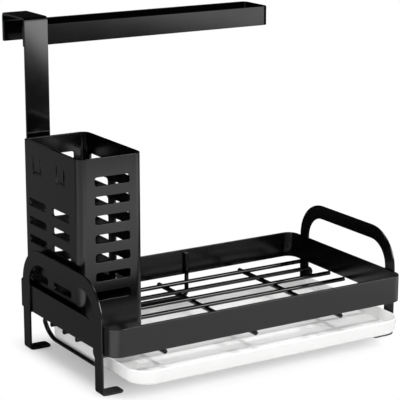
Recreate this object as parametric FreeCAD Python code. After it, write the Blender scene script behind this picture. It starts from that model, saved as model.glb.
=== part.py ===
import FreeCAD, Part
import math
import os

V = FreeCAD.Vector

# Round wire of the floor, the cradle and the stop
wire_diameter = 4.0

# Tray band
band_length = 300.0
band_width = 177.5
band_height = 24.4
band_wall = 1.5
band_corner_radius = 11.0
band_bottom_height = 36.9

# End frames with their feet and pads
frame_thickness = 1.7
frame_strip_width = 13.0
frame_height = 97.4
frame_spread = 147.7
frame_outer_radius = 35.0
frame_bend_radius = 0.8
foot_length = 21.0
foot_corner_radius = 3.0
pad_thickness = 0.5
pad_margin = 0.8

# Grid of floor wires and cross wires
floor_wire_pitch = 23.4
floor_wire_end_inset = 0.4
cross_wire_diameter = 4.4
cross_wire_pitch_share = 0.3033
cross_wire_offset_share = 0.010
cross_wire_front_gap = 10.0
cross_wire_back_gap = 0.2

# Cradle that carries the drip tray
cradle_run_inset = 11.1
cradle_run_height = 15.5
cradle_lean_share = 0.322
cradle_top_bend_radius = 4.0
cradle_low_bend_radius = 11.0

# Drip tray
tray_depth = 153.9
tray_height = 12.8
tray_wall = 1.8
tray_floor = 2.0
tray_corner_radius = 20.0
tray_back_corner_radius = 6.0
tray_edge_radius = 3.0
tray_inner_edge_radius = 1.5
tray_draft_share = 0.046
tray_run_gap = 0.6
tray_seat_side_share = 0.868
tray_seat_rise_share = 0.508
tray_stop_gap = 0.5
tray_pull_out = 37.1

# Stop wire behind the drip tray
stop_spacing = 100.0
stop_offset = 24.1
stop_top_drop = 3.1
stop_run_height = 15.6
stop_bend_radius = 6.0

# Basket
basket_length = 61.6
basket_depth = 102.5
basket_height = 153.6
basket_wall = 2.2
basket_corner_radius = 8.0
basket_seam_radius = 1.8
basket_inner_seam_radius = 0.4
basket_end_gap = 3.2
basket_back_gap = 10.5
basket_rest_gap = 0.1

# Slots and cut tongues of the basket
slot_length = 33.2
slot_height = 7.7
slot_corner_radius = 2.5
slot_rows = 7
slot_rows_below_tongues = 5
slot_first_share = 0.21875
slot_pitch_share = 0.108073
slot_column_pitch = 44.4
left_slot_shift = 5.1
right_slot_shift = 2.8
side_slot_height = 6.8
side_slot_drop = 1.2
end_slot_shift = 0.9
base_slot_rows = 3
tongue_width = 13.6
tongue_height = 15.4
tongue_drop = 13.0
tongue_slit = 3.0

# Towel post and its hook
post_width = 22.8
post_thickness = 2.0
post_inset = 11.9
post_bottom_gap = 0.6
hook_top_height = 294.8
hook_depth = 45.3
hook_bend_radius = 1.5

# Towel bar
bar_length = 257.0
bar_height = 17.9
bar_thickness = 2.0
bar_drop = 7.6
bar_bend_radius = 4.0

# Screws and nuts at the foot of the post
screw_diameter = 4.0
screw_spacing = 11.0
screw_clearance = 0.2
screw_tail = 1.0
head_diameter = 8.0
head_height = 2.2
head_edge_radius = 0.8
recess_length = 4.2
recess_width = 1.0
recess_depth = 1.2
nut_width = 7.0
nut_thickness = 3.2
nut_sides = 6
thread_gap = 0.05

# Overrun of cutting tools and tolerance for picking edges
overrun = 2.0
pick_tolerance = 0.01

# Heights and places that follow from the values above
wire_radius = wire_diameter / 2
band_top = band_bottom_height + band_height
half_length = band_length / 2
half_width = band_width / 2
band_inner_back = half_width - band_wall
floor_wire_height = band_bottom_height - wire_radius
cross_wire_radius = cross_wire_diameter / 2
cross_wire_height = floor_wire_height - wire_radius - cross_wire_radius
cradle_side = floor_wire_pitch * 2
leg_side = (frame_spread - frame_strip_width) / 2

seat_reach = tray_edge_radius + wire_radius + tray_run_gap
tray_inset = cradle_run_inset + seat_reach * tray_seat_side_share - tray_edge_radius
tray_bottom = cradle_run_height + seat_reach * tray_seat_rise_share - tray_edge_radius
tray_rim = tray_bottom + tray_height
tray_half_length = half_length - tray_inset
tray_rim_spread = tray_height * tray_draft_share
stop_line = band_inner_back - wire_radius
tray_back = stop_line - wire_radius - tray_stop_gap - tray_pull_out - tray_rim_spread
tray_front = tray_back + tray_rim_spread * 2 - tray_depth

basket_left = band_wall + basket_end_gap - half_length
basket_right = basket_left + basket_length
basket_back = band_inner_back - basket_back_gap
basket_front = basket_back - basket_depth
basket_bottom = band_bottom_height + basket_rest_gap
basket_floor_top = basket_bottom + basket_wall
basket_top = basket_bottom + basket_height
basket_mid_x = (basket_left + basket_right) / 2
basket_mid_y = (basket_front + basket_back) / 2
slot_first_height = basket_height * slot_first_share
slot_pitch = basket_height * slot_pitch_share

post_left = post_inset - half_length
post_mid = post_left + post_width / 2
post_front = band_inner_back - post_thickness
hook_back = post_front + hook_depth
bar_top = hook_top_height - bar_drop
bar_bottom = bar_top - bar_height
screw_mid_height = band_bottom_height + band_height / 2

# The origin lies under the middle of the box round the whole caddy
middle_y = (hook_back + tray_front - tray_rim_spread) / 2


def outline(u0, u1, v0, v1, radii, place):
    """Rounded rectangle with a radius for each corner, anticlockwise from the one at u1 and v0.

    place turns two plane coordinates into a point."""
    edges = []
    corners = ((u1, v0, 1, -1), (u1, v1, 1, 1), (u0, v1, -1, 1), (u0, v0, -1, -1))
    last = place(u0 + radii[-1], v0)
    for (u, v, su, sv), radius in zip(corners, radii):
        cu = u - su * radius
        cv = v - sv * radius
        diagonal = radius * math.sin(math.pi / 4)
        start = place(u, cv)
        end = place(cu, v)
        if su == sv:
            turn_in, turn_out = start, end
        else:
            turn_in, turn_out = end, start
        middle = place(cu + su * diagonal, cv + sv * diagonal)
        edges.append(Part.LineSegment(last, turn_in).toShape())
        edges.append(Part.Arc(turn_in, middle, turn_out).toShape())
        last = turn_out
    return Part.Wire(edges)


def flat_outline(x0, x1, y0, y1, radius, z):
    """Rounded rectangle lying level at height z."""
    return outline(x0, x1, y0, y1, [radius] * 4, lambda u, v: V(u, v, z))


def bent_path(points, radii):
    """Straight runs joined by tangent arcs at the inner points."""
    edges = []
    start = points[0]
    for corner, after, radius in zip(points[1:], points[2:], radii):
        into = (corner - start).normalize()
        out = (after - corner).normalize()
        half_turn = into.getAngle(out) / 2
        inward = (out - into).normalize()
        first = corner - into * (radius * math.tan(half_turn))
        last = corner + out * (radius * math.tan(half_turn))
        middle = corner + inward * (radius / math.cos(half_turn) - radius)
        edges.append(Part.LineSegment(start, first).toShape())
        edges.append(Part.Arc(first, middle, last).toShape())
        start = last
    edges.append(Part.LineSegment(start, points[-1]).toShape())
    return Part.Wire(edges)


def bent_rod(points, radii):
    """Round wire along a bent path."""
    ring = Part.Wire(Part.makeCircle(wire_radius, points[0], points[1] - points[0]).Edges)
    return bent_path(points, radii).makePipeShell([ring], True, False)


def bent_strip(points, radii, across, width, thickness):
    """Flat strip along a bent path; across is the direction of its width."""
    along = (points[1] - points[0]).normalize()
    side = V(across).normalize() * (width / 2)
    face = along.cross(side).normalize() * (thickness / 2)
    mid = points[0]
    ring = Part.makePolygon([mid + side + face, mid - side + face, mid - side - face, mid + side - face,
                             mid + side + face])
    return bent_path(points, radii).makePipeShell([ring], True, False)


def straight_rod(start, end, radius):
    """Straight round wire from one point to another."""
    run = end - start
    return Part.makeCylinder(radius, run.Length, start, run)


def screw_places():
    """Heights of the two screws."""
    return [screw_mid_height - screw_spacing / 2, screw_mid_height + screw_spacing / 2]


def screw_holes():
    """Clearance holes through the post and the band."""
    depth = post_thickness + band_wall + overrun * 2
    radius = screw_diameter / 2 + screw_clearance
    holes = []
    for z in screw_places():
        holes.append(Part.makeCylinder(radius, depth, V(post_mid, post_front - overrun, z), V(0, 1, 0)))
    return holes


def tray_band():
    """Strip bent into a rounded rectangle."""
    outer = flat_outline(-half_length, half_length, -half_width, half_width, band_corner_radius,
                         band_bottom_height)
    inner = flat_outline(band_wall - half_length, half_length - band_wall, band_wall - half_width,
                         half_width - band_wall, band_corner_radius - band_wall, band_bottom_height)
    ring = Part.Face([outer, inner.reversed()])
    return ring.extrude(V(0, 0, band_height)).cut(screw_holes())


def foot(side):
    """Lower leg bent inwards, for the left frame, at one side."""
    mid_x = -half_length - frame_thickness / 2
    mid_z = pad_thickness + frame_thickness / 2
    tip_x = foot_length - half_length - frame_thickness
    y = side * leg_side
    points = [V(mid_x, y, band_bottom_height), V(mid_x, y, mid_z), V(tip_x, y, mid_z)]
    radius = frame_bend_radius + frame_thickness / 2
    strip = bent_strip(points, [radius], V(0, 1, 0), frame_strip_width, frame_thickness)
    tip_edges = []
    for edge in strip.Edges:
        box = edge.BoundBox
        upright = box.XLength < pick_tolerance and box.YLength < pick_tolerance
        if upright and abs(box.XMax - tip_x) < pick_tolerance:
            tip_edges.append(edge)
    return strip.makeFillet(foot_corner_radius, tip_edges)


def left_end_frame():
    """Arched strip with two feet, outside the left end of the band."""
    mid_x = -half_length - frame_thickness / 2
    top = frame_height - frame_strip_width / 2
    points = [
        V(mid_x, -leg_side, band_bottom_height),
        V(mid_x, -leg_side, top),
        V(mid_x, leg_side, top),
        V(mid_x, leg_side, band_bottom_height),
    ]
    radius = frame_outer_radius - frame_strip_width / 2
    arch = bent_strip(points, [radius, radius], V(0, 1, 0), frame_strip_width, frame_thickness)
    return arch.fuse([foot(-1), foot(1)]).removeSplitter()


def foot_pad(side):
    """Thin pad under a foot of the left frame."""
    x0 = frame_bend_radius + pad_margin - half_length
    x1 = foot_length - half_length - frame_thickness - pad_margin
    reach = frame_strip_width / 2 - pad_margin
    y = side * leg_side
    face = Part.Face(flat_outline(x0, x1, y - reach, y + reach, foot_corner_radius - pad_margin, 0))
    return face.extrude(V(0, 0, pad_thickness))


def mirrored(shape):
    """The same shape at the other end of the caddy."""
    return shape.mirror(V(0, 0, 0), V(1, 0, 0))


def floor_wire(step):
    """Straight wire along the tray, a number of pitches from the middle."""
    x = half_length - floor_wire_end_inset
    y = step * floor_wire_pitch
    return straight_rod(V(-x, y, floor_wire_height), V(x, y, floor_wire_height), wire_radius)


def cross_wire(step):
    """Wire across the tray under the floor wires."""
    x = (step * cross_wire_pitch_share - cross_wire_offset_share) * band_length
    front = cross_wire_front_gap - half_width
    back = half_width - cross_wire_back_gap
    return straight_rod(V(x, front, cross_wire_height), V(x, back, cross_wire_height), cross_wire_radius)


def tray_cradle():
    """Closed wire: two long runs with a leaning low loop at each end."""
    low_x = cradle_run_inset - half_length
    high_x = low_x - (floor_wire_height - cradle_run_height) * cradle_lean_share
    points = [
        V(0, -cradle_side, floor_wire_height),
        V(high_x, -cradle_side, floor_wire_height),
        V(low_x, -cradle_side, cradle_run_height),
        V(low_x, cradle_side, cradle_run_height),
        V(high_x, cradle_side, floor_wire_height),
        V(0, cradle_side, floor_wire_height),
    ]
    top_bend = cradle_top_bend_radius
    low_bend = cradle_low_bend_radius
    half = bent_rod(points, [top_bend, low_bend, low_bend, top_bend])
    return half.fuse(mirrored(half)).removeSplitter()


def rear_stop():
    """U-shaped wire on the inside of the back of the band."""
    x0 = -stop_offset - stop_spacing / 2
    x1 = -stop_offset + stop_spacing / 2
    top = band_top - stop_top_drop
    points = [
        V(x0, stop_line, top),
        V(x0, stop_line, stop_run_height),
        V(x1, stop_line, stop_run_height),
        V(x1, stop_line, top),
    ]
    return bent_rod(points, [stop_bend_radius, stop_bend_radius])


def tray_outline(z, shrink):
    """Level outline of the drip tray; its sides spread with height."""
    spread = (z - tray_bottom) * tray_draft_share - shrink
    front = tray_corner_radius + spread
    back = tray_back_corner_radius + spread
    return outline(-tray_half_length - spread, tray_half_length + spread, tray_front - spread,
                   tray_back + spread, [front, back, back, front], lambda u, v: V(u, v, z))


def level_edges(shape, z):
    """Edges that lie wholly at height z."""
    picked = []
    for edge in shape.Edges:
        box = edge.BoundBox
        if box.ZLength < pick_tolerance and abs(box.ZMin - z) < pick_tolerance:
            picked.append(edge)
    return picked


def drip_tray():
    """Shallow tray with rounded corners and sloping sides."""
    floor_top = tray_bottom + tray_floor
    brim = tray_rim + overrun
    body = Part.makeLoft([tray_outline(tray_bottom, 0), tray_outline(tray_rim, 0)], True, True)
    body = body.makeFillet(tray_edge_radius, level_edges(body, tray_bottom))
    inside = [tray_outline(floor_top, tray_wall), tray_outline(brim, tray_wall)]
    hollow = Part.makeLoft(inside, True, True)
    hollow = hollow.makeFillet(tray_inner_edge_radius, level_edges(hollow, floor_top))
    return body.cut(hollow)


def slot(mid_u, mid_v, height, place, depth):
    """Rounded slot through a wall; depth is the direction of the cut."""
    wire = outline(mid_u - slot_length / 2, mid_u + slot_length / 2, mid_v - height / 2, mid_v + height / 2,
                   [slot_corner_radius] * 4, place)
    return Part.Face(wire).extrude(depth)


def slot_columns(shift):
    """Middles of the two slot columns of a long side, shifted towards the back."""
    mid = basket_mid_y + shift
    return [mid - slot_column_pitch / 2, mid + slot_column_pitch / 2]


def wall_slots():
    """Cutters for the slots in all four walls."""
    cut = basket_wall + overrun * 2
    mid_x = basket_mid_x + end_slot_shift
    left = basket_left - overrun
    right = basket_right - basket_wall - overrun
    cutters = []
    for row in range(slot_rows):
        z = basket_bottom + slot_first_height + row * slot_pitch
        side_z = z - side_slot_drop
        for y in (basket_front - overrun, basket_back - basket_wall - overrun):
            cutters.append(slot(mid_x, z, slot_height, lambda u, v: V(u, y, v), V(0, cut, 0)))
        for mid in slot_columns(right_slot_shift):
            cutters.append(slot(mid, side_z, side_slot_height, lambda u, v: V(right, u, v), V(cut, 0, 0)))
        if row < slot_rows_below_tongues:
            for mid in slot_columns(left_slot_shift):
                cutters.append(slot(mid, side_z, side_slot_height, lambda u, v: V(left, u, v), V(cut, 0, 0)))
    return cutters


def tongue_slits():
    """Cutters that free a tongue, held at its top, in each column of the left wall."""
    cut = basket_wall + overrun * 2
    x = basket_left - overrun
    low = basket_top - tongue_drop - tongue_height
    reach = tongue_width + tongue_slit
    cutters = []
    for mid in slot_columns(left_slot_shift):
        for edge in (mid - tongue_width / 2, mid + tongue_width / 2):
            corner = V(x, edge - tongue_slit / 2, low)
            cutters.append(Part.makeBox(cut, tongue_slit, tongue_height, corner))
        corner = V(x, mid - reach / 2, low)
        cutters.append(Part.makeBox(cut, reach, tongue_slit, corner))
    return cutters


def basket_outline(shrink, seam_radius, z):
    """Level outline of the basket; its left back corner is the tight seam of the sheet."""
    radii = [basket_corner_radius - shrink] * 4
    radii[2] = seam_radius
    return outline(basket_left + shrink, basket_right - shrink, basket_front + shrink, basket_back - shrink,
                   radii, lambda u, v: V(u, v, z))


def basket_shell():
    """Four walls of the basket, standing on its base."""
    outer = basket_outline(0, basket_seam_radius, basket_floor_top)
    inner = basket_outline(basket_wall, basket_inner_seam_radius, basket_floor_top)
    walls = Part.Face([outer, inner.reversed()]).extrude(V(0, 0, basket_top - basket_floor_top))
    return walls.cut(wall_slots() + tongue_slits())


def basket_base():
    """Floor plate of the basket with drain slots."""
    outer = basket_outline(0, basket_seam_radius, basket_bottom)
    plate = Part.Face(outer).extrude(V(0, 0, basket_wall))
    low = basket_bottom - overrun
    cut = V(0, 0, basket_wall + overrun * 2)
    cutters = []
    for row in range(base_slot_rows):
        x = basket_mid_x + (row - (base_slot_rows - 1) / 2) * slot_pitch
        for y in slot_columns(0):
            cutters.append(slot(y, x, slot_height, lambda u, v: V(v, u, low), cut))
    return plate.cut(cutters)


def towel_post():
    """Upright strip bent over backwards into a hook."""
    front = post_front + post_thickness / 2
    back = hook_back - post_thickness / 2
    top = hook_top_height - post_thickness / 2
    points = [
        V(post_mid, front, band_bottom_height + post_bottom_gap),
        V(post_mid, front, top),
        V(post_mid, back, top),
        V(post_mid, back, bar_bottom),
    ]
    radius = hook_bend_radius + post_thickness / 2
    strip = bent_strip(points, [radius, radius], V(1, 0, 0), post_width, post_thickness)
    return strip.cut(screw_holes())


def towel_bar():
    """Loop of strip inside the hook, open at its left end."""
    front = post_front + post_thickness + bar_thickness / 2
    back = hook_back - post_thickness - bar_thickness / 2
    right = post_left + bar_length - bar_thickness / 2
    z = (bar_top + bar_bottom) / 2
    points = [V(post_left, front, z), V(right, front, z), V(right, back, z), V(post_left, back, z)]
    radius = bar_bend_radius + bar_thickness / 2
    return bent_strip(points, [radius, radius], V(0, 0, 1), bar_height, bar_thickness)


def post_screw(z):
    """Pan-head screw with a cross recess, from inside the tray."""
    grip = post_thickness + band_wall + nut_thickness + screw_tail
    shank = Part.makeCylinder(screw_diameter / 2, grip, V(post_mid, post_front, z), V(0, 1, 0))
    head_y = post_front - head_height
    head = Part.makeCylinder(head_diameter / 2, head_height, V(post_mid, head_y, z), V(0, 1, 0))
    rim = [edge for edge in head.Edges if edge.BoundBox.YMax < head_y + pick_tolerance]
    head = head.makeFillet(head_edge_radius, rim)
    cuts = []
    for dx, dz in ((recess_length, recess_width), (recess_width, recess_length)):
        corner = V(post_mid - dx / 2, head_y - overrun, z - dz / 2)
        cuts.append(Part.makeBox(dx, overrun + recess_depth, dz, corner))
    return head.fuse(shank).removeSplitter().cut(cuts)


def post_nut(z):
    """Hexagon nut behind the band."""
    corner_reach = nut_width / 2 / math.cos(math.pi / nut_sides)
    points = []
    for side in range(nut_sides + 1):
        angle = side * 2 * math.pi / nut_sides
        x = post_mid + corner_reach * math.cos(angle)
        points.append(V(x, half_width, z + corner_reach * math.sin(angle)))
    body = Part.Face(Part.makePolygon(points)).extrude(V(0, nut_thickness, 0))
    bore = Part.makeCylinder(screw_diameter / 2 + thread_gap, nut_thickness + overrun * 2,
                             V(post_mid, half_width - overrun, z), V(0, 1, 0))
    return body.cut(bore)


left_frame = left_end_frame()
front_pad = foot_pad(-1)
back_pad = foot_pad(1)

nodes = {
    "tray_band": tray_band(),
    "left_end_frame": left_frame,
    "right_end_frame": mirrored(left_frame),
    "foot_pad_front_left": front_pad,
    "foot_pad_back_left": back_pad,
    "foot_pad_front_right": mirrored(front_pad),
    "foot_pad_back_right": mirrored(back_pad),
    "floor_wire_front": floor_wire(-3),
    "floor_wire_front_mid": floor_wire(-1),
    "floor_wire_middle": floor_wire(0),
    "floor_wire_back_mid": floor_wire(1),
    "floor_wire_back": floor_wire(3),
    "cross_wire_left": cross_wire(-1),
    "cross_wire_middle": cross_wire(0),
    "cross_wire_right": cross_wire(1),
    "tray_cradle": tray_cradle(),
    "rear_stop": rear_stop(),
    "drip_tray": drip_tray(),
    "basket_shell": basket_shell(),
    "basket_base": basket_base(),
    "towel_post": towel_post(),
    "towel_bar": towel_bar(),
    "post_screws": Part.makeCompound([post_screw(z) for z in screw_places()]),
    "post_nuts": Part.makeCompound([post_nut(z) for z in screw_places()]),
}

os.makedirs("parts", exist_ok=True)
for name, shape in nodes.items():
    shape.translate(V(0, -middle_y, 0))
    shape.exportStep("parts/" + name + ".step")
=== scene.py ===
import math

import bpy
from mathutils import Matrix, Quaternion, Vector


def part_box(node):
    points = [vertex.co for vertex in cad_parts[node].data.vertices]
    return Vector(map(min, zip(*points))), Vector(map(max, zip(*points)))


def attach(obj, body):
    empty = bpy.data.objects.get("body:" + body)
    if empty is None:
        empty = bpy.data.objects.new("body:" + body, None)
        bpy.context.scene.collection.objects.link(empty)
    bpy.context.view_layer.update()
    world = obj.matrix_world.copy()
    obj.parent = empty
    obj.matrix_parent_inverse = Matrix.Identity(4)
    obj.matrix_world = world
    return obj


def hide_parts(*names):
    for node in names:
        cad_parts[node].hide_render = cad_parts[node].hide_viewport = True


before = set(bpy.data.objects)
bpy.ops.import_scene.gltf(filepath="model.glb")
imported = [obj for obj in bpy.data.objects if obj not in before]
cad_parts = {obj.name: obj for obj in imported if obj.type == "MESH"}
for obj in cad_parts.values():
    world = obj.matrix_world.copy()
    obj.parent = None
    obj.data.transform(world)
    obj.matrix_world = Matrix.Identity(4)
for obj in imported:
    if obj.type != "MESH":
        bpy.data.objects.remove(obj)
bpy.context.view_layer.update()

MM = 0.001
QUARTER = math.pi / 2

# Sheets, bends and slots, where the frame's boxes don't give their sizes
BAND_WALL = 1.5 * MM
BAND_CORNER = 11 * MM
FRAME_WALL = 1.7 * MM
FRAME_STRIP = 13 * MM
FRAME_ARCH = 35 * MM
FRAME_BEND = 2.5 * MM
FOOT_CORNER = 3 * MM
POST_WALL = 2 * MM
POST_BEND = 3.5 * MM
BAR_WALL = 2 * MM
BAR_BEND = 6 * MM
BASKET_WALL = 2.2 * MM
BASKET_CORNER = 8 * MM
BASKET_SEAM = 1.8 * MM
BASKET_INNER_SEAM = 0.4 * MM
SLOT = (33.2 * MM, 7.7 * MM)
SLOT_CORNER = 2.5 * MM
SLOT_PITCH = 16.6 * MM
SLOT_ROWS = 7
SLOT_ROWS_BELOW_TONGUES = 5
SLOT_FIRST = 33.6 * MM
SLOT_COLUMNS = 44.4 * MM
LEFT_SHIFT = 5.1 * MM
RIGHT_SHIFT = 2.8 * MM
SIDE_SLOT = (33.2 * MM, 6.8 * MM)
SIDE_DROP = 1.2 * MM
END_SHIFT = 0.9 * MM
TONGUE = (13.6 * MM, 15.4 * MM)
TONGUE_DROP = 13 * MM
TONGUE_SLIT = 3 * MM
TRAY_WALL = 1.8 * MM
TRAY_CORNER = 20 * MM
TRAY_BACK_CORNER = 6 * MM
TRAY_EDGE = 3 * MM
TRAY_DRAFT = 0.59 * MM

# Eased edges
BAND_EASE = 0.4 * MM
FRAME_EASE = 0.45 * MM
POST_EASE = 0.3 * MM
BAR_EASE = 0.3 * MM
BASKET_EASE = 0.35 * MM
TRAY_EASE = 0.6 * MM
WIRE_EASE = 0.5 * MM

# Fineness of the meshes
CORNER_STEPS = 10
SMALL_CORNER_STEPS = 6
ARCH_STEPS = 14
BEND_STEPS = 8
FOOT_BEND_STEPS = 5
EASE_STEPS = 3
BASKET_EASE_STEPS = 2
WIRE_SIDES = 32
SHARP_EDGE = math.radians(40)
SMOOTH_EDGE = math.radians(50)
SAME_PLACE = 0.02 * MM
DOUBLE = 0.001 * MM

# How far a cutter goes through a wall, and past a rim
CUTTER_DEPTH = 8 * MM
CUTTER_OVER = 5 * MM

# Floor, room and camera
FLOOR_SIDE = 14
FLOOR_DROP = 0.1 * MM
ROOM_FILL = 0.8
ROOM_MIRRORED = 0.012
LENS = 148.5
SENSOR = 36
CAMERA_PLACE = (-0.7555, -1.2182, 0.4954)
CAMERA_TILT = math.radians(75.69)
CAMERA_TURN = math.radians(-31.65)


# Modelling tools

def near(a, b):
    return abs(a - b) < SAME_PLACE


def edit():
    bpy.ops.object.mode_set(mode="EDIT")


def leave():
    bpy.ops.object.mode_set(mode="OBJECT")


def name_piece(name):
    """Names the newly added primitive and puts its place into its mesh."""
    piece = bpy.context.object
    piece.name = piece.data.name = name
    bpy.ops.object.transform_apply(location=True, rotation=True, scale=True)
    return piece


def flat_sheet(name, middle, size, turn=(0, 0, 0)):
    """A flat rectangle at its size and place."""
    bpy.ops.object.select_all(action="DESELECT")
    bpy.ops.mesh.primitive_plane_add(size=1, location=middle, rotation=turn)
    bpy.context.object.scale = (size[0], size[1], 1)
    return name_piece(name)


def block(name, middle, size):
    """A block at its size and place."""
    bpy.ops.object.select_all(action="DESELECT")
    bpy.ops.mesh.primitive_cube_add(size=1, location=middle)
    bpy.context.object.scale = size
    return name_piece(name)


def pick(piece, kind, test):
    """Opens a piece in edit mode with only those vertices or edges selected that pass the test all over."""
    edit()
    bpy.ops.mesh.select_mode(type=kind)
    bpy.ops.mesh.select_all(action="DESELECT")
    leave()
    mesh = piece.data
    passed = [test(vertex.co) for vertex in mesh.vertices]
    if kind == "VERT":
        for vertex in mesh.vertices:
            vertex.select = passed[vertex.index]
    else:
        for edge in mesh.edges:
            edge.select = all(passed[i] for i in edge.vertices)
    edit()


def run(step):
    """Extrudes what is selected straight on."""
    bpy.ops.mesh.extrude_region_move(TRANSFORM_OT_translate={"value": step})


def bend(angle, centre, axis, steps=BEND_STEPS):
    """Spins the selected edges round a bend."""
    bpy.ops.mesh.spin(steps=steps, angle=angle, center=centre, axis=axis)


def apply_modifier(piece, kind, **settings):
    modifier = piece.modifiers.new(kind, kind)
    for key, value in settings.items():
        setattr(modifier, key, value)
    bpy.context.view_layer.objects.active = piece
    bpy.ops.object.modifier_apply(modifier=modifier.name)


def close_sheet(piece, wall, inside):
    """Turns the faces away from a point inside, then gives the sheet its wall on that side."""
    edit()
    bpy.ops.mesh.select_all(action="SELECT")
    bpy.ops.mesh.remove_doubles(threshold=DOUBLE)
    bpy.ops.mesh.normals_make_consistent(inside=False)
    leave()
    mesh = piece.data
    outward = sum(face.area * face.normal.dot(face.center - inside) for face in mesh.polygons)
    if outward < 0:
        edit()
        bpy.ops.mesh.flip_normals()
        leave()
    apply_modifier(piece, "SOLIDIFY", thickness=wall, offset=-1, use_even_offset=True)


def round_edges(piece, width, segments=EASE_STEPS):
    """Rounds the sharp edges."""
    apply_modifier(piece, "BEVEL", width=width, segments=segments, limit_method="ANGLE",
                   angle_limit=SHARP_EDGE, use_clamp_overlap=True, harden_normals=False)


def smooth(piece):
    """Smooths a finished piece and keeps its flat faces flat."""
    bpy.ops.object.select_all(action="DESELECT")
    piece.select_set(True)
    bpy.context.view_layer.objects.active = piece
    bpy.ops.object.shade_smooth_by_angle(angle=SMOOTH_EDGE)
    apply_modifier(piece, "WEIGHTED_NORMAL", keep_sharp=True, weight=90)


def cut_away(piece, cutter):
    """Takes the cutter's volume out of a piece."""
    apply_modifier(piece, "BOOLEAN", object=cutter, operation="DIFFERENCE", solver="EXACT")
    bpy.data.objects.remove(cutter)


def mirrored_copy(piece, name):
    """The same piece at the other end, with its own mesh."""
    bpy.ops.object.select_all(action="DESELECT")
    piece.select_set(True)
    bpy.context.view_layer.objects.active = piece
    bpy.ops.object.duplicate()
    copy = bpy.context.object
    copy.scale = (-1, 1, 1)
    name_piece(name)
    edit()
    bpy.ops.mesh.select_all(action="SELECT")
    bpy.ops.mesh.normals_make_consistent(inside=False)
    leave()
    return copy


# Pieces

def rounded_ring(name, low, high, z, corners):
    """Level outline with a radius for each corner, anticlockwise from the one at low x and low y."""
    middle = ((low.x + high.x) / 2, (low.y + high.y) / 2, z)
    ring = flat_sheet(name, middle, (high.x - low.x, high.y - low.y))
    places = ((low.x, low.y), (high.x, low.y), (high.x, high.y), (low.x, high.y))
    for (x, y), radius in zip(places, corners):
        pick(ring, "VERT", lambda v: near(v.x, x) and near(v.y, y))
        bpy.ops.mesh.bevel(offset=radius, offset_type="OFFSET", segments=CORNER_STEPS, affect="VERTICES")
    leave()
    return ring


def prism(name, low, high, corners):
    """An upright solid on a rounded outline."""
    solid = rounded_ring(name, low, high, low.z, corners)
    edit()
    bpy.ops.mesh.select_mode(type="FACE")
    bpy.ops.mesh.select_all(action="SELECT")
    run((0, 0, high.z - low.z))
    bpy.ops.mesh.select_all(action="SELECT")
    bpy.ops.mesh.normals_make_consistent(inside=False)
    leave()
    return solid


def tray_band():
    """A strip bent into a rounded rectangle."""
    low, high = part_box("tray_band")
    band = rounded_ring("band", low, high, low.z, [BAND_CORNER] * 4)
    edit()
    bpy.ops.mesh.select_mode(type="EDGE")
    bpy.ops.mesh.select_all(action="SELECT")
    bpy.ops.mesh.delete(type="ONLY_FACE")
    bpy.ops.mesh.select_all(action="SELECT")
    run((0, 0, high.z - low.z))
    leave()
    close_sheet(band, BAND_WALL, (low + high) / 2)
    round_edges(band, BAND_EASE)
    return band


def left_frame():
    """An arched strip whose feet are bent inwards."""
    low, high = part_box("left_end_frame")
    arch_z = high.z - FRAME_ARCH
    foot_z = low.z + FRAME_BEND
    middle = (low.x, low.y + FRAME_STRIP / 2, (foot_z + arch_z) / 2)
    strip = flat_sheet("frame_left", middle, (arch_z - foot_z, FRAME_STRIP), (0, QUARTER, 0))
    pick(strip, "EDGE", lambda v: near(v.z, arch_z))
    bend(QUARTER, (low.x, low.y + FRAME_ARCH, arch_z), (1, 0, 0), ARCH_STEPS)
    run((0, high.y - low.y - FRAME_ARCH * 2, 0))
    bend(QUARTER, (low.x, high.y - FRAME_ARCH, arch_z), (1, 0, 0), ARCH_STEPS)
    run((0, 0, foot_z - arch_z))
    leave()
    pick(strip, "EDGE", lambda v: near(v.z, foot_z))
    bend(QUARTER, (low.x + FRAME_BEND, 0, foot_z), (0, 1, 0), FOOT_BEND_STEPS)
    run((high.x - low.x - FRAME_BEND, 0, 0))
    leave()
    pick(strip, "VERT", lambda v: near(v.x, high.x))
    bpy.ops.mesh.bevel(offset=FOOT_CORNER, offset_type="OFFSET", segments=SMALL_CORNER_STEPS,
                       affect="VERTICES")
    leave()
    close_sheet(strip, FRAME_WALL, Vector((0, (low.y + high.y) / 2, high.z / 2)))
    round_edges(strip, FRAME_EASE)
    return strip


def towel_post():
    """An upright strip bent over backwards into a hook that ends level with the towel bar's lower edge."""
    low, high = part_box("towel_post")
    hook_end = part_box("towel_bar")[0].z
    top = high.z - POST_BEND
    middle = ((low.x + high.x) / 2, low.y, (low.z + top) / 2)
    post = flat_sheet("post", middle, (high.x - low.x, top - low.z), (QUARTER, 0, 0))
    pick(post, "EDGE", lambda v: near(v.z, top))
    bend(QUARTER, (0, low.y + POST_BEND, top), (1, 0, 0))
    run((0, high.y - low.y - POST_BEND * 2, 0))
    bend(QUARTER, (0, high.y - POST_BEND, top), (1, 0, 0))
    run((0, 0, hook_end - top))
    leave()
    close_sheet(post, POST_WALL, (low + high) / 2)
    round_edges(post, POST_EASE)
    return post


def towel_bar():
    """A long level loop of strip, open at the hook."""
    low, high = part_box("towel_bar")
    right = high.x - BAR_BEND
    middle = ((low.x + right) / 2, low.y, (low.z + high.z) / 2)
    bar = flat_sheet("bar", middle, (right - low.x, high.z - low.z), (QUARTER, 0, 0))
    pick(bar, "EDGE", lambda v: near(v.x, right))
    bend(-QUARTER, (right, low.y + BAR_BEND, 0), (0, 0, 1))
    run((0, high.y - low.y - BAR_BEND * 2, 0))
    bend(-QUARTER, (right, high.y - BAR_BEND, 0), (0, 0, 1))
    run((low.x - right, 0, 0))
    leave()
    close_sheet(bar, BAR_WALL, (low + high) / 2)
    round_edges(bar, BAR_EASE)
    return bar


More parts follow.
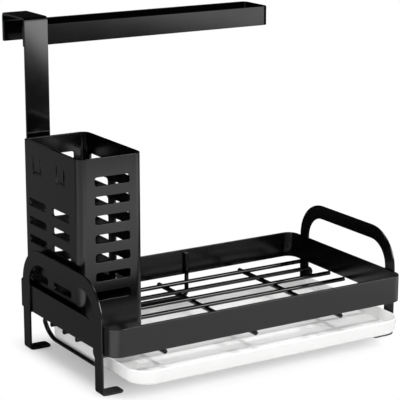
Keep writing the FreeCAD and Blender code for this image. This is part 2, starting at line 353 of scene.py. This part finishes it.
def slot_cutter(middle, size, through):
    """A block with rounded corners that cuts one slot; through is the number of the axis across the wall."""
    cutter = block("slot_cutter", middle, size)
    across = [i for i in range(3) if i != through]
    edit()
    bpy.ops.mesh.select_mode(type="EDGE")
    bpy.ops.mesh.select_all(action="DESELECT")
    leave()
    for edge in cutter.data.edges:
        a, b = (cutter.data.vertices[i].co for i in edge.vertices)
        edge.select = all(near(a[i], b[i]) for i in across)
    edit()
    bpy.ops.mesh.bevel(offset=SLOT_CORNER, offset_type="OFFSET", segments=SMALL_CORNER_STEPS, affect="EDGES")
    leave()
    return cutter


def basket_cutters(low, high, floor_z):
    """Blocks for the slots of all four walls and for the slits round the two tongues."""
    mid_x = (low.x + high.x) / 2 + END_SHIFT
    mid_y = (low.y + high.y) / 2
    side_slot = (CUTTER_DEPTH, SIDE_SLOT[0], SIDE_SLOT[1])
    end_slot = (SLOT[0], CUTTER_DEPTH, SLOT[1])
    cutters = []
    left = [mid_y + LEFT_SHIFT + half * SLOT_COLUMNS for half in (-0.5, 0.5)]
    right = [mid_y + RIGHT_SHIFT + half * SLOT_COLUMNS for half in (-0.5, 0.5)]
    for row in range(SLOT_ROWS):
        z = floor_z + SLOT_FIRST + row * SLOT_PITCH
        middles = [(high.x, y, z - SIDE_DROP) for y in right]
        if row < SLOT_ROWS_BELOW_TONGUES:
            middles += [(low.x, y, z - SIDE_DROP) for y in left]
        cutters += [slot_cutter(middle, side_slot, 0) for middle in middles]
        cutters += [slot_cutter((mid_x, y, z), end_slot, 1) for y in (low.y, high.y)]
    tongue_z = high.z - TONGUE_DROP - TONGUE[1] / 2
    for y in left:
        slit = block("slit_cutter", (low.x, y, tongue_z), (CUTTER_DEPTH, TONGUE[0] + TONGUE_SLIT, TONGUE[1]))
        cut_away(slit, block("tongue", (low.x, y, tongue_z + TONGUE_SLIT),
                             (CUTTER_DEPTH * 2, TONGUE[0] - TONGUE_SLIT, TONGUE[1])))
        cutters.append(slit)
    bpy.ops.object.select_all(action="DESELECT")
    for cutter in cutters:
        cutter.select_set(True)
    bpy.context.view_layer.objects.active = cutters[0]
    bpy.ops.object.join()
    return cutters[0]


def basket_shell():
    """A tall slotted box of sheet. Its floor is the CAD's own plate."""
    low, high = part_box("basket_shell")
    floor_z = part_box("basket_base")[0].z
    wall = Vector((BASKET_WALL, BASKET_WALL, 0))
    over = Vector((0, 0, CUTTER_OVER))
    shell = prism("basket", low, high, [BASKET_CORNER] * 3 + [BASKET_SEAM])
    cut_away(shell, prism("basket_room", low + wall - over, high - wall + over,
                          [BASKET_CORNER - BASKET_WALL] * 3 + [BASKET_INNER_SEAM]))
    cut_away(shell, basket_cutters(low, high, floor_z))
    round_edges(shell, BASKET_EASE, BASKET_EASE_STEPS)
    return shell


def drip_tray():
    """A shallow moulded tray that widens towards its rim."""
    low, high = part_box("drip_tray")
    base_low = low + Vector((TRAY_DRAFT, TRAY_DRAFT, 0))
    base_high = high - Vector((TRAY_DRAFT, TRAY_DRAFT, 0))
    tray = rounded_ring("tray", base_low, base_high, low.z,
                        [TRAY_CORNER, TRAY_CORNER, TRAY_BACK_CORNER, TRAY_BACK_CORNER])
    edit()
    bpy.ops.mesh.select_mode(type="EDGE")
    bpy.ops.mesh.select_all(action="SELECT")
    bpy.ops.mesh.region_to_loop()
    run((0, 0, high.z - low.z))
    stretch = ((high.x - low.x) / (base_high.x - base_low.x),
               (high.y - low.y) / (base_high.y - base_low.y), 1)
    bpy.ops.transform.resize(value=stretch, center_override=(low + high) / 2)
    leave()
    pick(tray, "EDGE", lambda v: near(v.z, low.z))
    bpy.ops.mesh.bevel(offset=TRAY_EDGE, offset_type="OFFSET", segments=SMALL_CORNER_STEPS, affect="EDGES")
    leave()
    close_sheet(tray, TRAY_WALL, Vector(((low.x + high.x) / 2, (low.y + high.y) / 2, high.z)))
    round_edges(tray, TRAY_EASE)
    return tray


def straight_wire(node):
    """A round level wire along the longest side of the node's box, with eased ends."""
    low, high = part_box(node)
    size = high - low
    along = max(range(3), key=lambda i: size[i])
    turn = {0: (0, QUARTER, 0), 1: (QUARTER, 0, 0)}[along]
    bpy.ops.object.select_all(action="DESELECT")
    bpy.ops.mesh.primitive_cylinder_add(vertices=WIRE_SIDES, radius=min(size) / 2, depth=size[along],
                                        location=(low + high) / 2, rotation=turn)
    wire = name_piece(node.replace("_wire", "_rod"))
    round_edges(wire, WIRE_EASE)
    return wire


# Finishes

class Value:
    """A shader socket that takes part in Python sums."""

    def __init__(self, finish, socket):
        self.finish = finish
        self.socket = socket

    def math(self, operation, first, second):
        return self.finish.node("ShaderNodeMath", {"operation": operation}, {0: first, 1: second})

    def __add__(self, other):
        return self.math("ADD", self, other)

    __radd__ = __add__

    def __sub__(self, other):
        return self.math("SUBTRACT", self, other)

    def __rsub__(self, other):
        return self.math("SUBTRACT", other, self)

    def __mul__(self, other):
        return self.math("MULTIPLY", self, other)

    __rmul__ = __mul__


class Finish:
    """A node tree under construction."""

    def __init__(self, tree):
        self.tree = tree
        tree.nodes.clear()

    def node(self, kind, settings=None, inputs=None, out=0):
        """Adds a node: its settings first, then values or links for its sockets."""
        node = self.tree.nodes.new(kind)
        for key, value in (settings or {}).items():
            setattr(node, key, value)
        for key, value in (inputs or {}).items():
            if isinstance(value, Value):
                self.tree.links.new(value.socket, node.inputs[key])
            else:
                node.inputs[key].default_value = value
        return Value(self, node.outputs[out]) if node.outputs else None

    def place(self, scale=(1, 1, 1)):
        """Object coordinates through a Mapping node."""
        coordinates = self.node("ShaderNodeTexCoord", out="Object")
        return self.node("ShaderNodeMapping", None, {"Vector": coordinates, "Scale": scale})

    def along(self, place, direction):
        """How far a place lies in a direction."""
        inputs = {0: place, 1: direction}
        return self.node("ShaderNodeVectorMath", {"operation": "DOT_PRODUCT"}, inputs, "Value")

    def noise(self, scale, detail, stretch=(1, 1, 1)):
        inputs = {"Vector": self.place(stretch), "Scale": scale, "Detail": detail}
        return self.node("ShaderNodeTexNoise", None, inputs, "Fac")

    def fade(self, value, start, end):
        """0 at start and 1 at end, eased between them."""
        inputs = {"Value": value, "From Min": start, "From Max": end}
        return self.node("ShaderNodeMapRange", {"interpolation_type": "SMOOTHSTEP"}, inputs)

    def mix(self, share, first, second):
        inputs = {"Factor": share, 6: first, 7: second}
        return self.node("ShaderNodeMix", {"data_type": "RGBA"}, inputs, 2)

    def bump(self, height, strength, depth):
        return self.node("ShaderNodeBump", None, {"Height": height, "Strength": strength, "Distance": depth})

    def glow(self, colour):
        return self.node("ShaderNodeEmission", None, {"Color": colour, "Strength": 1.0})

    def choose(self, share, first, second):
        return self.node("ShaderNodeMixShader", None, {0: share, 1: first, 2: second})

    def surface(self, shader):
        self.node("ShaderNodeOutputMaterial", None, {"Surface": shader})


def grey(level):
    return (level, level, level, 1)


def new_material(name):
    material = bpy.data.materials.new(name)
    material.use_nodes = True
    return material, Finish(material.node_tree)


def black_coat(name, shade, roughness, peel):
    """Baked black coating on steel: an even colour with a fine peel and slightly uneven gloss."""
    material, finish = new_material(name)
    cloud = finish.noise(scale=22, detail=3)
    fine = finish.noise(scale=900, detail=2)
    speck = finish.noise(scale=2600, detail=1)
    finish.surface(finish.node("ShaderNodeBsdfPrincipled", None, {
        "Base Color": finish.mix(cloud, grey(0.8 * shade), grey(1.2 * shade)),
        "Roughness": roughness + 0.07 * (cloud - 0.5) + 0.05 * (speck - 0.5),
        "Normal": finish.bump(fine, strength=peel, depth=0.02 * MM),
        "IOR": 1.5}))
    return material


def tray_plastic():
    """Milky moulded plastic that lets some light through."""
    material, finish = new_material("milky_tray_plastic")
    cloud = finish.noise(scale=30, detail=3)
    fine = finish.noise(scale=500, detail=2)
    finish.surface(finish.node("ShaderNodeBsdfPrincipled", None, {
        "Base Color": finish.mix(cloud, (0.86, 0.86, 0.85, 1), (0.92, 0.92, 0.915, 1)),
        "Roughness": 0.04 + 0.08 * cloud,
        "Normal": finish.bump(fine, strength=0.05, depth=0.02 * MM),
        "IOR": 1.49,
        "Transmission Weight": 0.1,
        "Subsurface Weight": 0.7,
        "Subsurface Radius": (1, 1, 1),
        "Subsurface Scale": 4 * MM}))
    return material


def pad_rubber():
    """Dark rubber with a grain."""
    material, finish = new_material("dark_pad_rubber")
    grain = finish.noise(scale=700, detail=3)
    finish.surface(finish.node("ShaderNodeBsdfPrincipled", None, {
        "Base Color": finish.mix(grain, grey(0.012), grey(0.03)),
        "Roughness": 0.7 + 0.2 * grain,
        "Normal": finish.bump(grain, strength=0.4, depth=0.05 * MM)}))
    return material


def fastener_steel():
    """Plated steel with fine streaks."""
    material, finish = new_material("plated_fastener_steel")
    streak = finish.noise(scale=400, detail=3, stretch=(1, 6, 1))
    finish.surface(finish.node("ShaderNodeBsdfPrincipled", None, {
        "Base Color": finish.mix(streak, grey(0.42), (0.6, 0.59, 0.57, 1)),
        "Roughness": 0.22 + 0.16 * streak,
        "Metallic": 1.0,
        "Normal": finish.bump(streak, strength=0.2, depth=0.02 * MM)}))
    return material


finishes = {
    "coated_strip": black_coat("black_strip_coat", shade=0.0015, roughness=0.2, peel=0.15),
    "coated_wire": black_coat("black_wire_coat", shade=0.0015, roughness=0.11, peel=0.05),
    "coated_towel_rack": black_coat("black_rack_coat", shade=0.001, roughness=0.12, peel=0.05),
    "coated_basket": black_coat("black_basket_coat", shade=0.0015, roughness=0.22, peel=0.15),
    "tray_plastic": tray_plastic(),
    "pad_rubber": pad_rubber(),
    "fastener_steel": fastener_steel(),
}


def dress(piece, body, slot, *nodes):
    """Gives a new piece its finish and lets it stand for CAD nodes."""
    smooth(piece)
    piece.data.materials.clear()
    piece.data.materials.append(finishes[slot])
    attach(piece, body)
    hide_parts(*nodes)


# Blender's own first objects go, and the CAD nodes that stay get their finishes
for spare in ("Cube", "Light", "Camera"):
    if spare in bpy.data.objects:
        bpy.data.objects.remove(bpy.data.objects[spare])

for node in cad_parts.values():
    for place in node.material_slots:
        slot = place.material.name.split(".")[0]
        if slot in finishes:
            place.material = finishes[slot]

frame_left = left_frame()
frame_right = mirrored_copy(frame_left, "frame_right")
band = tray_band()
dress(band, "rack", "coated_strip", "tray_band")
dress(frame_left, "rack", "coated_strip", "left_end_frame")
dress(frame_right, "rack", "coated_strip", "right_end_frame")
post = towel_post()
dress(post, "rack", "coated_towel_rack", "towel_post")
dress(towel_bar(), "rack", "coated_towel_rack", "towel_bar")
basket = basket_shell()
dress(basket, "basket", "coated_basket", "basket_shell")
tray = drip_tray()
dress(tray, "tray", "tray_plastic", "drip_tray")
wires = []
for wire_node in [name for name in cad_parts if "_wire_" in name]:
    wires.append(straight_wire(wire_node))
    dress(wires[-1], "rack", "coated_wire", wire_node)


# Floor, light and camera

def painted_gloss_glow(finish, distance, ahead, left):
    """Painted reflections: what the floor glows to gloss rays alone. It is a set pattern of bright and dim
    patches, in places brighter than white, that paints highlights and darker bands into the black coating: a
    bright patch in front, a dim one at the left and a glare far off at the right.
    The lengths are metres from the middle of the caddy."""
    # Painted light: these masks set where the floor glows brighter or dimmer to gloss, for painted
    # highlights by the left leg and near the left corner
    by_leg = finish.fade(left, 0.146, 0.152) * finish.fade(left, 0.22, 0.19)
    at_side = 1 - finish.fade(ahead - 0.09 * by_leg, 0.02, 0.12)
    far_left = finish.fade(left, 0.3, 0.45)
    half_way = finish.fade(distance, 0.3, 0.5)
    far_off = finish.fade(distance, 0.6, 0.7)
    near_corner = finish.fade(left, 0.15, 0.22) * finish.fade(distance, 0.45, 0.35)
    strength = (1.0 + 0.65 * half_way + 0.45 * far_off) * (1 + 0.7 * near_corner)
    sheet_end = finish.fade(distance - 0.3 * far_left, 0.86, 0.76)
    front_glow_patch = (1 - at_side) * sheet_end * (1 - 0.5 * far_left) * strength
    left_glow_patch = at_side * finish.fade(left, 0.1, 0.2) * (0.15 + 0.05 * finish.fade(distance, 0.3, 0.6))
    left_glow_strip = 0.8 * far_left * finish.fade(ahead, -0.3, -0.12) * finish.fade(ahead, 0.15, 0.05)
    glare_middle = finish.fade(left, -0.85, -1.3) * finish.fade(left, -1.65, -1.4)
    glare = finish.fade(ahead, 0.9, 1.3) * finish.fade(distance, 1.3, 1.6) * (0.2 + 3.1 * glare_middle)
    return 0.02 + front_glow_patch + left_glow_patch + left_glow_strip + glare


def under_caddy(finish, distance, ahead, left):
    """1 on the floor under the caddy, where its shadow shows most, and 0 away from it."""
    beside = finish.fade(left, 0.136, 0.165)
    before = finish.fade(ahead, 0.05, 0.15)
    beyond = finish.fade(ahead, -0.05, -0.1)
    away = finish.fade(distance, 0.2, 0.4)
    return (1 - beside) * (1 - before) * (1 - beyond) * (1 - away)


def floor():
    """Pale floor: white to the camera with the caddy's shadow. To gloss rays it glows in a painted pattern
    of bright and dim patches that paints reflections into the coating.
    """
    sheet = flat_sheet("floor", (0, 0, -FLOOR_DROP), (FLOOR_SIDE, FLOOR_SIDE))
    material, finish = new_material("pale_floor")
    seen = finish.node("ShaderNodeLightPath", out="Is Camera Ray")
    mirrored = finish.node("ShaderNodeLightPath", out="Is Glossy Ray")
    place = finish.place()
    distance = finish.node("ShaderNodeVectorMath", {"operation": "LENGTH"}, {0: place}, "Value")
    ahead = finish.along(place, (0, -1, 0))
    left = finish.along(place, (-1, 0, 0))
    pale = finish.mix(finish.noise(scale=60, detail=3), grey(0.78), grey(0.82))
    matt = finish.node("ShaderNodeBsdfDiffuse", None, {"Color": finish.mix(seen, grey(0.56), pale)})
    white = seen * (1 - 0.7 * under_caddy(finish, distance, ahead, left))
    plain = finish.choose(white, matt, finish.glow(grey(1)))
    # Painted reflection: to gloss rays the floor shows this set glow in place of its lit colour
    painted_reflection = finish.glow(painted_gloss_glow(finish, distance, ahead, left))
    finish.surface(finish.choose(mirrored, plain, painted_reflection))
    sheet.data.materials.append(material)
    return sheet


def studio_world():
    """White to the camera, an even fill to the surfaces, a dim room to their gloss."""
    world = bpy.data.worlds.new("studio")
    bpy.context.scene.world = world
    world.use_nodes = True
    finish = Finish(world.node_tree)
    seen = finish.node("ShaderNodeLightPath", out="Is Camera Ray")
    mirrored = finish.node("ShaderNodeLightPath", out="Is Glossy Ray")
    level = ROOM_FILL + (1 - ROOM_FILL) * seen - (ROOM_FILL - ROOM_MIRRORED) * mirrored
    light = finish.node("ShaderNodeBackground", None, {"Color": level})
    finish.node("ShaderNodeOutputWorld", None, {"Surface": light})


def soft_box(name, place, target, size, power, only=(), roll=0.0):
    """A rectangular lamp; with only, it lights those pieces alone."""
    lamp = bpy.data.lights.new(name, "AREA")
    lamp.shape = "RECTANGLE"
    lamp.size, lamp.size_y = size
    lamp.energy = power
    box = bpy.data.objects.new(name, lamp)
    bpy.context.scene.collection.objects.link(box)
    box.location = place
    aim = (Vector(target) - Vector(place)).to_track_quat("-Z", "Y")
    box.rotation_euler = (aim @ Quaternion((0, 0, 1), roll)).to_euler()
    if only:
        lit = bpy.data.collections.new(name + "_lights")
        for piece in only:
            lit.objects.link(piece)
        box.light_linking.receiver_collection = lit


def camera():
    """The photograph's view."""
    lens = bpy.data.cameras.new("camera")
    lens.lens = LENS
    lens.sensor_width = SENSOR
    view = bpy.data.objects.new("camera", lens)
    bpy.context.scene.collection.objects.link(view)
    view.location = CAMERA_PLACE
    view.rotation_euler = (CAMERA_TILT, 0, CAMERA_TURN)
    bpy.context.scene.camera = view


ground = floor()
studio_world()
soft_box("top_box", place=(0.85, -0.1, 1.4), target=(0, 0, 0), size=(0.5, 0.5), power=5,
         only=[ground, tray, band, frame_left, frame_right, post])
soft_box("right_box", place=(0.85, -1.3, 0.75), target=(0, 0, 0.1), size=(0.8, 0.8), power=5.5)
soft_box("wire_box", place=(0.85, -1.3, 0.72), target=(0, 0, 0.1), size=(0.9, 0.45), power=13, only=wires)
soft_box("edge_box", place=(0.85, -1.3, 0.8), target=(0, 0, 0.1), size=(0.8, 0.8), power=14,
         only=[band, frame_left, frame_right, basket])
soft_box("front_box", place=(0.5, -1.5, 1.2), target=(0, 0, 0), size=(0.8, 0.8), power=30, only=[ground])
soft_box("tray_back_box", place=(0.95, 1.55, 0.55), target=(0, -0.1, 0.02), size=(2.2, 1.0), power=8,
         only=[tray])
soft_box("tray_top_box", place=(0.1, 0.15, 1.5), target=(0, 0, 0), size=(0.2, 0.2), power=10, only=[tray])
soft_box("tray_left_box", place=(-1.2, -0.8, 0.4), target=(-0.1, -0.1, 0.02), size=(0.6, 0.6), power=8,
         only=[tray])
soft_box("post_box", place=(0.3, -0.75, 0.183), target=(-0.127, 0.074, 0.28), size=(0.2, 0.12), power=0.38,
         only=[post], roll=math.radians(-41))
camera()
bpy.context.scene.view_settings.view_transform = "Standard"
